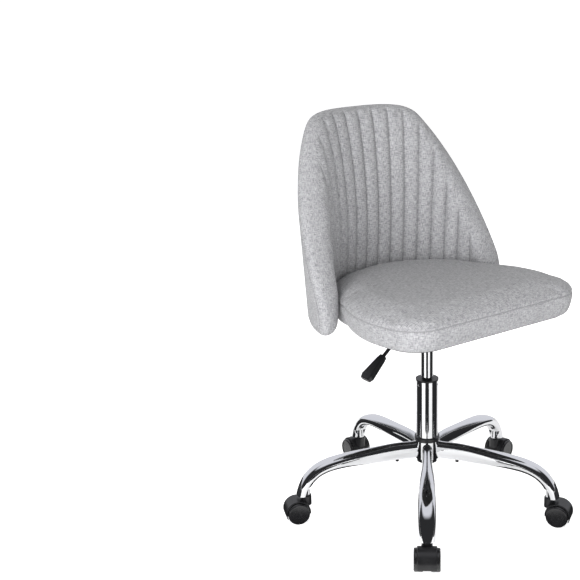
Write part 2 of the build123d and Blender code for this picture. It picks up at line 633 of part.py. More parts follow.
back_bolts = []
for side, side_name in ((-1, "right"), (1, "left")):
    bracket_frame = seat_frame * Pos(0, SEAT_REAR_CENTRE, 0) * Rot(0, 0, -side * BRACKET_ANGLE)
    PARTS[f"back_bracket_{side_name}"] = bracket_frame * bracket
    back_bolts += [bracket_frame * item for item in leg_bolts]
    shell -= bracket_frame * leg
    pad -= bracket_frame * pocket
PARTS["back_bolts"] = Compound(children=back_bolts)
PARTS["back_shell"] = largest(shell)
PARTS["back_rear_panel"] = panel
PARTS["back_front_pad"] = largest(pad)

os.makedirs("parts", exist_ok=True)
for part_name, part in PARTS.items():
    part.label = part_name
    export_step(part, f"parts/{part_name}.step")
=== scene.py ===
"""Swivel office chair: stuffed seat and back, finishes of the hard pieces, and a studio stage."""

import json
from math import cos, pi, radians, sin

import bpy
import numpy as np
from bpy.props import FloatProperty, FloatVectorProperty, IntProperty, PointerProperty
from mathutils import Matrix, Vector


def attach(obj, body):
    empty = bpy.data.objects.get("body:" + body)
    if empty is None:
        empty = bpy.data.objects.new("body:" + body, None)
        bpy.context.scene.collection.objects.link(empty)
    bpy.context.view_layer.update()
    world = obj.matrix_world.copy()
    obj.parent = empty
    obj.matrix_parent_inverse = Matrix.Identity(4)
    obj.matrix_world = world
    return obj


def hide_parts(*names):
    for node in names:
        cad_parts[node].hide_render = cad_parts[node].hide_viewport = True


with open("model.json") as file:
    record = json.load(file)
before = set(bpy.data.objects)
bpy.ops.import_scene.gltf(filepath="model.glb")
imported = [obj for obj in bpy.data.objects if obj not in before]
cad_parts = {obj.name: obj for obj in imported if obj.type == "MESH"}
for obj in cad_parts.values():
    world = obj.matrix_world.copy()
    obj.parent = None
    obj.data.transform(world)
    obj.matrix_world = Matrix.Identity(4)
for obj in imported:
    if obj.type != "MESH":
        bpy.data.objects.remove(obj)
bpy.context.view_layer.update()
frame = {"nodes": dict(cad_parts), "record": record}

bl_info = {
    "name": "Swivel Chair Dresser",
    "version": (1, 0, 0),
    "blender": (4, 5, 0),
    "location": "View3D > Sidebar > Chair",
    "description": "Upholsters and finishes a swivel office chair on its frame",
    "category": "Object",
}

# Frames of the tilted seat and of the leaning back
SEAT_ORIGIN = Vector((0.0, 0.0, 0.4655))
SEAT_TURN = Matrix.Rotation(radians(-2.3), 3, "X")
BACK_ORIGIN = Vector((0.0, 0.010, 0.465))
BACK_TURN = Matrix.Rotation(radians(2.86), 3, "X")

# Stuffing by cloth simulation
SETTLE_FRAMES = 20
CLOTH_DAMPING = 25.0
SEAT_STIFFNESS = 12.0
BACK_STIFFNESS = 25.0

# Outline of the seat in its own frame: the round rear and the slight bow of the sides
REAR_CENTRE = 0.005
REAR_START = 0.030
SIDE_BOW = 0.0015
SIDE_BOW_PLACE = -0.080
OUTLINE_POINTS = 80

# Rings of the cushion: shares of the outline, and heights over the underside
SEAT_SEGMENTS = 128
UNDERSIDE = 0.0005
UNDER_RINGS = (0.0, 0.2, 0.4, 0.6, 0.78, 0.9)
SIDE_RINGS = (
    (0.936, 0.001), (0.956, 0.0045), (0.968, 0.011), (0.978, 0.020), (0.986, 0.030), (0.991, 0.040))
SEAM_RING = 0.993
EDGE_RINGS = 8
TOP_RINGS = 12
# Share of its rise that the top has before it is stuffed
UNSTUFFED_RISE = 0.97

# Cushion: what is held while it is stuffed, where its side and underside start, and its sewing
SEAM_HOLD = 0.005
UNDER_HOLD = (0.002, 0.010)
LEAST_HOLD = 0.05
SIDE_START = 0.9
SIDE_FULL = 0.95
UNDER_FLAT = 0.003
EDGE_SPREAD = 0.6
SEAT_THREAD = 0.0016

# Side outline of the back: a line far behind it, the steps of its arcs, and where its edge is looked for
FAR_BEHIND = 0.5
ARC_STEPS = 24
LUMBAR_MARGIN = 0.020
WING_ANGLES = (radians(60), radians(100))
WING_HEIGHTS = (-0.06, 0.46)
WING_TRIALS = 400
WING_TIP = 0.0003
EDGE_HEIGHTS = (-0.07, 0.47)
EDGE_TRIALS = 2200
MERGE_DISTANCE = 2e-5

# Cloth columns: shares of a channel, and how many lie on a wing beyond the last seam
CHANNEL_COLUMNS = (0.0, 0.075, 0.24, 0.5, 0.76, 0.925)
WING_COLUMNS = 20

# Padding of the back: round of a channel, swell beyond the last seam, and round of the edge
CHANNEL_POWER = 2.2
CHANNEL_ROUND = 0.7
WING_SWELL = radians(2.2)
EDGE_ROUND = 0.5
FRONT_START = 0.001
FRONT_BAND = (0.002, 0.007)
EDGE_FACING = (0.40, 0.70)

# Sewn lines of the back: width, depth and thread, what is held during stuffing, and the fade near the edge
CREASE_WIDTH = 0.0022
CREASE_DEPTH = 0.0018
BACK_THREAD = 0.0013
SEWN_ANGLE = radians(0.3)
SEWN_INSET = 0.004
FADE_START = 0.002
TOP_FADE = 0.012
WING_FADE = 0.034
WING_FADE_ANGLES = (0.55, 1.10)

# Rear panel: the bed it lies in, its depth at the rim, and its two faces
BED_DEPTH = 0.0062
BED_SIDE = (0.001, 0.004)
PANEL_RIM = 0.0022
PANEL_INNER = 0.0030
PANEL_INNER_ROUND = 0.004
PANEL_OUTER = 0.0034
PANEL_OUTER_ROUND = 0.005
PANEL_RADIUS = 0.27
PANEL_THREAD = 0.002

# Woven cloth: sizes of yarn and stitch, grain along and across each yarn, and shares of what is mixed
YARN_PITCH = 0.0011
STITCH_LENGTH = 0.0045
UP_YARN = (760.0, 95.0, 1.0)
CROSS_YARN = (85.0, 680.0, 1.0)
YARN_SHARE = 0.44
TOP_YARN_SHARE = 0.12
BLOTCH_SHARE = 0.10
SLUB_HEIGHT = 1.4

# Colours that wear, seams, grain and the painted shade of sewn creases mix into the finishes
DARK_FLECK = (0.10, 0.10, 0.105, 1.0)
# Painted shade laid into the cloth along its sewn creases
CREASE_PAINTED_SHADE = (0.09, 0.09, 0.095, 1.0)
SEWING_THREAD = (0.34, 0.34, 0.35, 1.0)
CHROME_SMEAR = (0.66, 0.67, 0.69, 1.0)
PALE_DUST = (0.16, 0.16, 0.165, 1.0)
PALE_SCUFF = (0.22, 0.22, 0.22, 1.0)
BRUSHED_STEEL = (0.38, 0.38, 0.40, 1.0)
PALE_BIRCH = (0.62, 0.46, 0.29, 1.0)
DARK_BIRCH = (0.40, 0.27, 0.15, 1.0)
RUBBER = (0.014, 0.014, 0.014)
DUST_CLOTH = (0.018, 0.018, 0.018)

# Camera, and the level direction from the column to it
CAMERA_PLACE = Vector((-1.506, -1.7932, 1.2025))
CAMERA_TURN = (radians(72.498), radians(1.031), radians(-36.681))
CAMERA_SHIFT = (-0.12, 0.04)
SENSOR_WIDTH = 36.0
VIEW_END = 200.0
TO_CAMERA = Vector((CAMERA_PLACE.x, CAMERA_PLACE.y, 0.0)).normalized()

# Softboxes: place, aim and size
KEY_SOFTBOX = ((-2.3, -0.9, 1.2), (0.0, 0.0, 0.6), 1.9)
FILL_SOFTBOX = ((-0.6, -2.6, 0.9), (0.0, 0.0, 0.5), 1.6)
REAR_SOFTBOX = ((0.6, 2.4, 2.4), (0.0, 0.0, 0.6), 1.6)

# Floor, and the glow that whitens it for the camera, and less in mirrors
FLOOR_SIZE = 120.0
FLOOR_HEIGHT = -0.0005
FLOOR_GLOW = 0.7
MIRRORED_GLOW = 0.3

# Room that polished metal mirrors: edges of the pale backdrop and ceiling, their glow, and the dark rest
BACKDROP_EDGE = (-0.40, -0.15)
CEILING_EDGE = (0.72, 0.90)
ROOM_GLOW = 0.78
ROOM_DARK = 0.03
PLAIN_WHITE = (1.0, 1.0, 1.0, 1.0)
ROOM_TINT = (0.93, 0.94, 1.0, 1.0)

# Dark cards: two headings in degrees from the camera's, and two distances from the column
CARDS = {
    "front_card": (-19.0, 19.0, 0.46, 8.0),
    "right_card": (54.0, 122.0, 0.16, 6.0),
    "left_card": (-131.0, -54.0, 0.16, 6.0),
}
CARD_HEIGHT = 0.001
CARD_BLACK = (0.01, 0.01, 0.011, 1.0)
CARD_ROUGHNESS = 0.9


class SeatSettings(bpy.types.PropertyGroup):
    """Sizes of the seat cushion, in the tilted frame of the seat"""

    half_width: FloatProperty(
        name="Half width", description="Half width at the sewn line", default=0.244, unit="LENGTH")
    front: FloatProperty(
        name="Front", description="Front edge before the column", default=0.248, unit="LENGTH")
    corner: FloatProperty(
        name="Corner", description="Rounding of the front corners", default=0.068, unit="LENGTH")
    rear_radius: FloatProperty(
        name="Rear radius", description="Round rear outline", default=0.209, unit="LENGTH")
    seam_height: FloatProperty(
        name="Sewn line", description="Sewn line over the underside", default=0.048, unit="LENGTH")
    edge: FloatProperty(
        name="Top edge", description="Rounding of the top edge", default=0.027, unit="LENGTH")
    crown: FloatProperty(
        name="Crown", description="Rise of the middle before it is stuffed",
        default=0.006, unit="LENGTH")
    voxel: FloatProperty(
        name="Cloth cell", description="Cell size of the cloth", default=0.005, unit="LENGTH")
    pressure: FloatProperty(name="Stuffing", description="Pressure of the stuffing", default=4.0)
    cap: FloatProperty(
        name="Most swell", description="Farthest that the cloth may move", default=0.008, unit="LENGTH")
    seam_depth: FloatProperty(
        name="Seam depth", description="Depth of the sewn line", default=0.0022, unit="LENGTH")
    seam_width: FloatProperty(
        name="Seam width", description="Half width of the sewn line", default=0.0026, unit="LENGTH")


class BackSettings(bpy.types.PropertyGroup):
    """Sizes of the back, a cone cut by a slanted side outline"""

    radius: FloatProperty(
        name="Radius", description="Outer radius at the seat", default=0.258, unit="LENGTH")
    flare: FloatProperty(name="Flare", description="Growth of the radius with height", default=0.085)
    thickness: FloatProperty(
        name="Thickness", description="Thickness of the padding at its foot and top",
        default=0.032, unit="LENGTH")
    lumbar: FloatProperty(
        name="Lumbar", description="Extra padding half way up", default=0.034, unit="LENGTH")
    foot: FloatProperty(name="Foot", description="Lower edge", default=0.446, unit="LENGTH")
    top: FloatProperty(name="Top", description="Upper edge", default=0.895, unit="LENGTH")
    wing_front: FloatProperty(
        name="Wing front", description="Front edge of the wings", default=0.030, unit="LENGTH")
    wing_turn: FloatProperty(
        name="Wing turn", description="Height where the edge slants", default=0.529, unit="LENGTH")
    wing_slope: FloatProperty(
        name="Wing slope", description="Run of the slanted edge for its height", default=0.555)
    top_corner: FloatProperty(
        name="Top corner", description="Rounding of the top", default=0.050, unit="LENGTH")
    foot_corner: FloatProperty(
        name="Foot corner", description="Rounding of the foot", default=0.032, unit="LENGTH")
    turn_corner: FloatProperty(
        name="Turn", description="Rounding where the edge slants", default=0.150, unit="LENGTH")
    seams: IntProperty(name="Seams", description="Sewn lines across the back", default=17)
    pitch: FloatProperty(
        name="Seam pitch", description="Angle between sewn lines", default=radians(8.6), subtype="ANGLE")
    rib: FloatProperty(
        name="Rib", description="Height of a channel between its seams", default=0.0085, unit="LENGTH")
    pressure: FloatProperty(name="Stuffing", description="Pressure of the stuffing", default=3.0)
    cap: FloatProperty(
        name="Most swell", description="Farthest that the cloth may move", default=0.004, unit="LENGTH")
    panel_inset: FloatProperty(
        name="Panel inset", description="Rear panel from the edge", default=0.0155, unit="LENGTH")
    rows: IntProperty(name="Rows", description="Rows of cloth cells up the back", default=64)


class FinishSettings(bpy.types.PropertyGroup):
    """Colours of the chair's materials"""

    light_yarn: FloatVectorProperty(
        name="Light yarn", description="Pale yarn of the cloth",
        default=(0.49, 0.49, 0.505), subtype="COLOR")
    dark_yarn: FloatVectorProperty(
        name="Dark yarn", description="Dark yarn of the cloth",
        default=(0.21, 0.21, 0.22), subtype="COLOR")
    chrome: FloatVectorProperty(
        name="Chrome", description="Colour of the plating", default=(0.83, 0.835, 0.85), subtype="COLOR")
    plastic: FloatVectorProperty(
        name="Plastic", description="Colour of the moulded pieces",
        default=(0.010, 0.010, 0.011), subtype="COLOR")
    steel: FloatVectorProperty(
        name="Steel", description="Colour of zinc-plated pieces",
        default=(0.55, 0.55, 0.57), subtype="COLOR")


class StageSettings(bpy.types.PropertyGroup):
    """Camera, light and floor"""

    lens: FloatProperty(name="Lens", description="Focal length in millimetres", default=68.524)
    key: FloatProperty(name="Key", description="Power of the main softbox in watts", default=63.0)
    fill: FloatProperty(name="Fill", description="Power of each fill softbox in watts", default=38.0)
    sky: FloatProperty(name="Sky", description="Strength of the even light", default=0.42)
    floor: FloatVectorProperty(
        name="Floor", description="Colour of the floor", default=(0.9, 0.9, 0.9), subtype="COLOR")


# Small helpers for objects and meshes
def deselect_all():
    for item in bpy.context.selected_objects:
        item.select_set(False)


def make_active(item):
    deselect_all()
    item.select_set(True)
    bpy.context.view_layer.objects.active = item


def points_of(mesh):
    flat = np.empty(len(mesh.vertices) * 3)
    mesh.vertices.foreach_get("co", flat)
    return flat.reshape(-1, 3)


def normals_of(mesh):
    flat = np.empty(len(mesh.vertices) * 3, dtype=np.float32)
    mesh.vertices.foreach_get("normal", flat)
    return flat.reshape(-1, 3).astype(float)


def put_points(mesh, points):
    mesh.vertices.foreach_set("co", np.ascontiguousarray(points, dtype=np.float32).ravel())
    mesh.update()


def smooth_step(low, high, value):
    part = np.clip((value - low) / (high - low), 0.0, 1.0)
    return part * part * (3.0 - 2.0 * part)


def into_frame(points, origin, turn):
    return (points - np.array(origin)) @ np.array(turn)


def out_of_frame(points, origin, turn):
    return points @ np.array(turn).T + np.array(origin)


def add_attribute(mesh, name, values):
    layer = mesh.attributes.new(name, "FLOAT", "POINT")
    layer.data.foreach_set("value", np.ascontiguousarray(values, dtype=np.float32))


def write_uv(mesh, name, u, v, turns=None):
    """Gives each corner its flat place on the cloth; turns is the angle of a vertex where u wraps round."""
    corners = np.empty(len(mesh.loops), dtype=np.int64)
    mesh.loops.foreach_get("vertex_index", corners)
    flat_u, flat_v = u[corners].copy(), v[corners]
    if turns is not None:
        angle, whole = turns
        for face in mesh.polygons:
            span = list(face.loop_indices)
            wide = angle[corners[span]]
            if wide.max() - wide.min() > pi:
                flat_u[span] += np.where(wide < 0.0, whole, 0.0)
    layer = mesh.uv_layers.get(name) or mesh.uv_layers.new(name=name)
    layer.data.foreach_set("uv", np.stack([flat_u, flat_v], 1).astype(np.float32).ravel())


def swell(item, pinned, pressure, cap, stiffness):
    """Stuffs a closed cloth shell by simulation and keeps each point near its start."""
    mesh = item.data
    start = points_of(mesh)
    group = item.vertex_groups.new(name="sewn")
    for index in np.nonzero(pinned > 0.0)[0]:
        group.add([int(index)], float(pinned[index]), "REPLACE")
    make_active(item)
    bpy.ops.object.modifier_add(type="CLOTH")
    cloth = item.modifiers[-1]
    cloth.settings.quality = 5
    cloth.settings.mass = 0.3
    cloth.settings.tension_stiffness = stiffness
    cloth.settings.compression_stiffness = stiffness
    cloth.settings.shear_stiffness = stiffness / 2
    cloth.settings.bending_stiffness = 0.5
    cloth.settings.tension_damping = CLOTH_DAMPING
    cloth.settings.compression_damping = CLOTH_DAMPING
    cloth.settings.shear_damping = CLOTH_DAMPING
    cloth.settings.air_damping = 10.0
    cloth.settings.use_pressure = True
    cloth.settings.uniform_pressure_force = pressure
    cloth.settings.vertex_group_mass = "sewn"
    cloth.settings.effector_weights.gravity = 0.0
    cloth.collision_settings.use_collision = False
    cloth.point_cache.frame_start = 1
    cloth.point_cache.frame_end = SETTLE_FRAMES
    scene = bpy.context.scene
    for number in range(1, SETTLE_FRAMES + 1):
        scene.frame_set(number)
    bpy.context.view_layer.update()
    shaped = item.evaluated_get(bpy.context.evaluated_depsgraph_get())
    after = points_of(shaped.data)
    bpy.ops.object.modifier_remove(modifier=cloth.name)
    scene.frame_set(1)
    moved = after - start
    length = np.linalg.norm(moved, axis=1)
    moved *= np.minimum(1.0, cap / np.maximum(length, 1e-9))[:, None]
    put_points(mesh, start + moved)
    item.vertex_groups.remove(item.vertex_groups["sewn"])


def subdivide(item, levels):
    make_active(item)
    bpy.ops.object.modifier_add(type="SUBSURF")
    modifier = item.modifiers[-1]
    modifier.levels = levels
    modifier.render_levels = levels
    bpy.ops.object.modifier_apply(modifier=modifier.name)


def relax(item, rounds, factor):
    make_active(item)
    bpy.ops.object.modifier_add(type="SMOOTH")
    modifier = item.modifiers[-1]
    modifier.iterations = rounds
    modifier.factor = factor
    bpy.ops.object.modifier_apply(modifier=modifier.name)


def shade_smooth(item):
    make_active(item)
    bpy.ops.object.shade_smooth()


def set_material(item, material):
    item.data.materials.clear()
    item.data.materials.append(material)


def quarter_round(part):
    """Rise of a rounded edge, from 0 where it starts to 1 where part reaches 1."""
    rest = np.clip(1 - part, 0.0, 1.0)
    return np.sqrt(np.maximum(0.0, 1 - rest ** 2))


# Seat forms
def seat_outline(seat):
    """Angle, radius and place of points on the seat's outline at the sewn line, all the way round."""
    half, front, corner = seat.half_width, -seat.front, seat.corner
    rear_x = (seat.rear_radius ** 2 - (REAR_START - REAR_CENTRE) ** 2) ** 0.5
    steps = np.linspace(0.0, 1.0, OUTLINE_POINTS)
    turn = steps * pi / 2
    front_edge = np.stack([steps * (half - corner), np.full(OUTLINE_POINTS, front)], 1)
    bend = np.stack([half - corner + corner * np.sin(turn), front + corner - corner * np.cos(turn)], 1)
    low, high = np.array([half, front + corner]), np.array([rear_x, REAR_START])
    middle = np.array([half + SIDE_BOW, SIDE_BOW_PLACE])
    side = ((1 - steps) * (1 - 2 * steps))[:, None] * low
    side = side + (4 * steps * (1 - steps))[:, None] * middle + (steps * (2 * steps - 1))[:, None] * high
    angles = np.linspace(np.arctan2(REAR_START - REAR_CENTRE, rear_x), pi / 2, OUTLINE_POINTS)
    rear = np.stack([seat.rear_radius * np.cos(angles), REAR_CENTRE + seat.rear_radius * np.sin(angles)], 1)
    right = np.concatenate([front_edge, bend, side, rear])
    both = np.concatenate([right, right * (-1, 1)])
    turns = np.arctan2(both[:, 1], both[:, 0])
    order = np.argsort(turns)
    return turns[order], np.linalg.norm(both, axis=1)[order], both[order]


def outline_radius(seat, angle):
    turns, radius, _ = seat_outline(seat)
    return np.interp(angle, turns, radius, period=2 * pi)


def outline_length(seat, angle):
    turns, _, points = seat_outline(seat)
    steps = np.linalg.norm(np.diff(points, axis=0, append=points[:1]), axis=1)
    along = np.concatenate([[0.0], np.cumsum(steps)])
    return np.interp(angle, np.append(turns, turns[0] + 2 * pi), along), along[-1]


def seat_form(name, seat, profile, segments):
    """A sphere whose rings take the seat's outline, each at its own size and height."""
    rings = len(profile) - 1
    deselect_all()
    bpy.ops.mesh.primitive_uv_sphere_add(segments=segments, ring_count=rings, radius=1.0)
    item = bpy.context.active_object
    item.name = item.data.name = name
    points = points_of(item.data)
    ring = np.rint(np.arccos(np.clip(-points[:, 2], -1.0, 1.0)) / pi * rings).astype(int)
    angle = np.arctan2(points[:, 1], points[:, 0])
    size = np.array([entry[0] for entry in profile])[ring]
    height = np.array([entry[1] for entry in profile])[ring]
    radius = size * outline_radius(seat, angle)
    shaped = np.stack([radius * np.cos(angle), radius * np.sin(angle), height], 1)
    put_points(item.data, out_of_frame(shaped, SEAT_ORIGIN, SEAT_TURN))
    return item


def cushion_profile(seat):
    """Share of the outline and height of each ring, from the middle of the underside up to the crown."""
    rows = [(size, UNDERSIDE) for size in UNDER_RINGS] + list(SIDE_RINGS)
    for step in range(EDGE_RINGS):
        inset = seat.edge * (1 - cos(pi / 2 * step / (EDGE_RINGS - 1)))
        rest = max(0.0, 1 - inset / seat.edge)
        rise = seat.edge * (1 - rest ** 2) ** 0.5 + seat.crown * (1 - (1 - inset / seat.half_width) ** 2)
        rows.append((SEAM_RING - inset / seat.half_width, seat.seam_height + rise * UNSTUFFED_RISE))
    inner = rows[-1][0]
    for step in range(1, TOP_RINGS + 1):
        size = inner * (1 - step / TOP_RINGS)
        rise = seat.edge + seat.crown * (1 - size ** 2)
        rows.append((size, seat.seam_height + rise * UNSTUFFED_RISE))
    return rows


class CHAIR_OT_seat_cushion(bpy.types.Operator):
    """Stuff the seat cushion and sew the line round its side"""

    bl_idname = "chair.seat_cushion"
    bl_label = "Seat Cushion"

    def execute(self, context):
        seat = context.scene.chair_seat
        item = seat_form("seat_cushion_cloth", seat, cushion_profile(seat), SEAT_SEGMENTS)
        item.data.remesh_voxel_size = seat.voxel
        make_active(item)
        bpy.ops.object.voxel_remesh()
        relax(item, rounds=4, factor=0.5)
        local = into_frame(points_of(item.data), SEAT_ORIGIN, SEAT_TURN)
        angle = np.arctan2(local[:, 1], local[:, 0])
        side = np.hypot(local[:, 0], local[:, 1]) > SIDE_START * outline_radius(seat, angle)
        near_seam = np.exp(-((local[:, 2] - seat.seam_height) / SEAM_HOLD) ** 2)
        pinned = np.where(side, near_seam, 0.0)
        pinned = np.maximum(pinned, 1.0 - smooth_step(*UNDER_HOLD, local[:, 2]))
        swell(item, np.where(pinned > LEAST_HOLD, pinned, 0.0), seat.pressure, seat.cap, SEAT_STIFFNESS)
        subdivide(item, levels=1)
        self.sew(item, seat)
        shade_smooth(item)
        set_material(item, cloth_material("seat_cloth", context.scene.chair_finish))
        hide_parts("seat_cushion")
        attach(item, "seat")
        return {"FINISHED"}

    def sew(self, item, seat):
        """Draws the sewn line in, and lays the cloth flat on the top, the side and the underside."""
        mesh = item.data
        local = into_frame(points_of(mesh), SEAT_ORIGIN, SEAT_TURN)
        angle = np.arctan2(local[:, 1], local[:, 0])
        reach = outline_radius(seat, angle)
        size = np.hypot(local[:, 0], local[:, 1]) / reach
        on_side = smooth_step(SIDE_START, SIDE_FULL, size)
        away = local[:, 2] - seat.seam_height
        groove = np.exp(-(away / seat.seam_width) ** 2) * on_side
        local[:, :2] *= (1 - groove * seat.seam_depth / np.maximum(reach * size, 1e-6))[:, None]
        put_points(mesh, out_of_frame(local, SEAT_ORIGIN, SEAT_TURN))
        along, whole = outline_length(seat, angle)
        above = away > 0.0
        flat = above | (local[:, 2] < UNDER_FLAT)
        drop = np.maximum(0.0, seat.seam_height + seat.edge - local[:, 2])
        spread = reach * size + np.where(above, EDGE_SPREAD * drop, 0.0)
        flat_u = np.where(flat, spread * np.cos(angle), along)
        flat_v = np.where(flat, spread * np.sin(angle), local[:, 2])
        write_uv(mesh, "Cloth", flat_u, flat_v, (np.where(flat, 0.0, angle), whole))
        add_attribute(mesh, "seam", np.exp(-(away / SEAT_THREAD) ** 2) * on_side)
        add_attribute(mesh, "along", along)


# Back forms
def back_outline(back):
    """Inward half planes of the back's side outline, with its corners rounded."""
    rise = back.top - back.wing_turn
    corners = [
        (Vector((back.wing_front, back.foot)), back.foot_corner),
        (Vector((FAR_BEHIND, back.foot)), 0.0),
        (Vector((FAR_BEHIND, back.top)), 0.0),
        (Vector((back.wing_front + back.wing_slope * rise, back.top)), back.top_corner),
        (Vector((back.wing_front, back.wing_turn)), back.turn_corner),
    ]
    loop = []
    for number, (corner, radius) in enumerate(corners):
        if radius == 0.0:
            loop.append(corner)
            continue
        before = (corners[number - 1][0] - corner).normalized()
        after = (corners[(number + 1) % len(corners)][0] - corner).normalized()
        half = before.angle(after) / 2
        middle = corner + (before + after).normalized() * (radius / sin(half))
        start = corner + before * (radius * cos(half) / sin(half)) - middle
        end = corner + after * (radius * cos(half) / sin(half)) - middle
        swing = start.angle_signed(end)
        for step in range(ARC_STEPS + 1):
            loop.append(middle + Matrix.Rotation(-swing * step / ARC_STEPS, 2) @ start)
    points = np.array([tuple(point) for point in loop])
    run = np.roll(points, -1, axis=0) - points
    run /= np.linalg.norm(run, axis=1)[:, None]
    inward = np.stack([-run[:, 1], run[:, 0]], 1)
    return points, inward


def edge_distance(back, y, z):
    """How far a point lies inside the side outline."""
    points, inward = back_outline(back)
    place = np.stack([np.ravel(y), np.ravel(z)], 1)
    reach = place @ inward.T - (inward * points).sum(1)
    return reach.min(1).reshape(np.shape(y))


def back_points(back, angle, height, depth):
    """Places at an angle and a height, a depth inside the cone of the back's outer face."""
    angle, height = np.broadcast_arrays(angle, height)
    radius = back.radius + back.flare * height - depth
    local = np.stack([radius * np.sin(angle), radius * np.cos(angle), height], -1)
    return out_of_frame(local.reshape(-1, 3), BACK_ORIGIN, BACK_TURN).reshape(local.shape)


def lumbar_depth(back, height):
    """Thickness of the padding at a height: most of it half way up."""
    low = back.foot - BACK_ORIGIN.z - LUMBAR_MARGIN
    high = back.top - BACK_ORIGIN.z + LUMBAR_MARGIN
    part = (height - low) / (high - low) * 2 - 1
    return back.thickness + back.lumbar * (1 - part ** 2)


def outer_seam(back):
    """Angle of the outermost seam."""
    return back.pitch * (back.seams - 1) / 2


def back_columns(back, inset):
    """Angles of the cloth columns: close beside each seam, closer again towards the front edge."""
    trial = np.linspace(*WING_ANGLES, WING_TRIALS)
    heights = np.linspace(*WING_HEIGHTS, WING_TRIALS)
    grid = back_points(back, trial[:, None], heights[None, :], back.thickness / 2)
    best = edge_distance(back, grid[..., 1], grid[..., 2]).max(1) - inset
    last = trial[best > WING_TIP][-1]
    outer = outer_seam(back)
    columns = []
    for seam in range(back.seams - 1):
        columns += [-outer + back.pitch * (seam + part) for part in CHANNEL_COLUMNS]
    columns.append(outer)
    side = [outer + back.pitch * part for part in CHANNEL_COLUMNS[1:3]]
    start = side[-1]
    for step in range(1, WING_COLUMNS + 1):
        side.append(start + (last - start) * sin(pi / 2 * step / WING_COLUMNS))
    return np.array([-angle for angle in reversed(side)] + columns + side)


def back_grid(back, inset):
    """Angle and height of each cloth cell corner: columns run up the cone from edge to edge."""
    angles = back_columns(back, inset)
    heights = np.linspace(*EDGE_HEIGHTS, EDGE_TRIALS)
    grid = back_points(back, angles[:, None], heights[None, :], back.thickness / 2)
    inside = edge_distance(back, grid[..., 1], grid[..., 2]) - inset
    step = heights[1] - heights[0]
    lows, highs = [], []
    for column in inside:
        good = np.nonzero(column > 0.0)[0]
        first, final = good[0], good[-1]
        lows.append(heights[first] - step * column[first] / (column[first] - column[first - 1]))
        highs.append(heights[final] + step * column[final] / (column[final] - column[final + 1]))
    share = (1 - np.cos(pi * np.linspace(0.0, 1.0, back.rows + 1))) / 2
    rise = np.array(lows)[:, None] + (np.array(highs) - np.array(lows))[:, None] * share[None, :]
    return np.repeat(angles[:, None], back.rows + 1, 1), rise


def cloth_grid(name, across, up):
    """A flat grid to be bent round the back, with the column and row of each corner."""
    deselect_all()
    bpy.ops.mesh.primitive_grid_add(x_subdivisions=across - 1, y_subdivisions=up - 1, size=2.0)
    item = bpy.context.active_object
    item.name = item.data.name = name
    flat = points_of(item.data)
    column = np.rint((flat[:, 0] + 1) / 2 * (across - 1)).astype(int)
    row = np.rint((flat[:, 1] + 1) / 2 * (up - 1)).astype(int)
    return item, column, row


def joined_shell(name, back, inset, front_depth, rear_depth):
    """Two cloth grids, front and rear, sewn together along their edge."""
    angle, height = back_grid(back, inset)
    distance = distance_at(back, angle, height)
    distance[[0, -1], :] = inset
    distance[:, [0, -1]] = inset
    sheets = []
    for side, depth in (("front", front_depth), ("rear", rear_depth)):
        item, column, row = cloth_grid(f"{name}_{side}", *angle.shape)
        shaped = back_points(back, angle, height, depth(angle, height, distance))
        put_points(item.data, shaped[column, row])
        sheets.append(item)
    deselect_all()
    for item in sheets:
        item.select_set(True)
    bpy.context.view_layer.objects.active = sheets[0]
    bpy.ops.object.join()
    item = bpy.context.active_object
    item.name = item.data.name = name
    bpy.ops.object.mode_set(mode="EDIT")
    bpy.ops.mesh.select_all(action="SELECT")
    bpy.ops.mesh.remove_doubles(threshold=MERGE_DISTANCE)
    bpy.ops.mesh.normals_make_consistent(inside=False)
    bpy.ops.object.mode_set(mode="OBJECT")
    return item


def distance_at(back, angle, height):
    """How far the middle of the padding lies inside the side outline."""
    middle = back_points(back, angle, height, back.thickness / 2)
    return np.maximum(0.0, edge_distance(back, middle[..., 1], middle[..., 2]))


def write_back_uv(item, back, angle, height, depth):
    """Flat place of the cloth on the faces of the back, and another for the strip round its edge."""
    across = angle * (back.radius - back.thickness / 2)
    write_uv(item.data, "Cloth", across, height)
    write_uv(item.data, "Edge", height - np.abs(across), depth)
    outward = into_frame(normals_of(item.data), Vector((0.0, 0.0, 0.0)), BACK_TURN)
    facing = np.abs(outward[:, 0] * np.sin(angle) + outward[:, 1] * np.cos(angle))
    add_attribute(item.data, "edge", 1 - smooth_step(*EDGE_FACING, facing))


def seam_share(back, angle):
    """Where a point lies between its two seams, from -1 to 1, and whether it lies between seams at all."""
    part = (angle + outer_seam(back)) / back.pitch
    within = (part > 0.0) & (part < back.seams - 1)
    return 2 * (part - np.floor(part)) - 1, within


def seam_gap(back, angle):
    """Angle from a point to the seam nearest to it."""
    outer = outer_seam(back)
    part = np.clip(np.rint((angle + outer) / back.pitch), 0, back.seams - 1)
    return np.abs(angle + outer - part * back.pitch)


def seam_fade(angle, distance):
    """Share of its depth that a seam keeps near the edge: the outer seams run out sooner."""
    reach = TOP_FADE + WING_FADE * smooth_step(*WING_FADE_ANGLES, np.abs(angle))
    return smooth_step(FADE_START, reach, distance)


def cone_place(item, back):
    """Angle, height and depth inside the outer face of each point of a piece."""
    local = into_frame(points_of(item.data), BACK_ORIGIN, BACK_TURN)
    angle = np.arctan2(local[:, 0], local[:, 1])
    depth = back.radius + back.flare * local[:, 2] - np.hypot(local[:, 0], local[:, 1])
    return angle, local[:, 2], depth


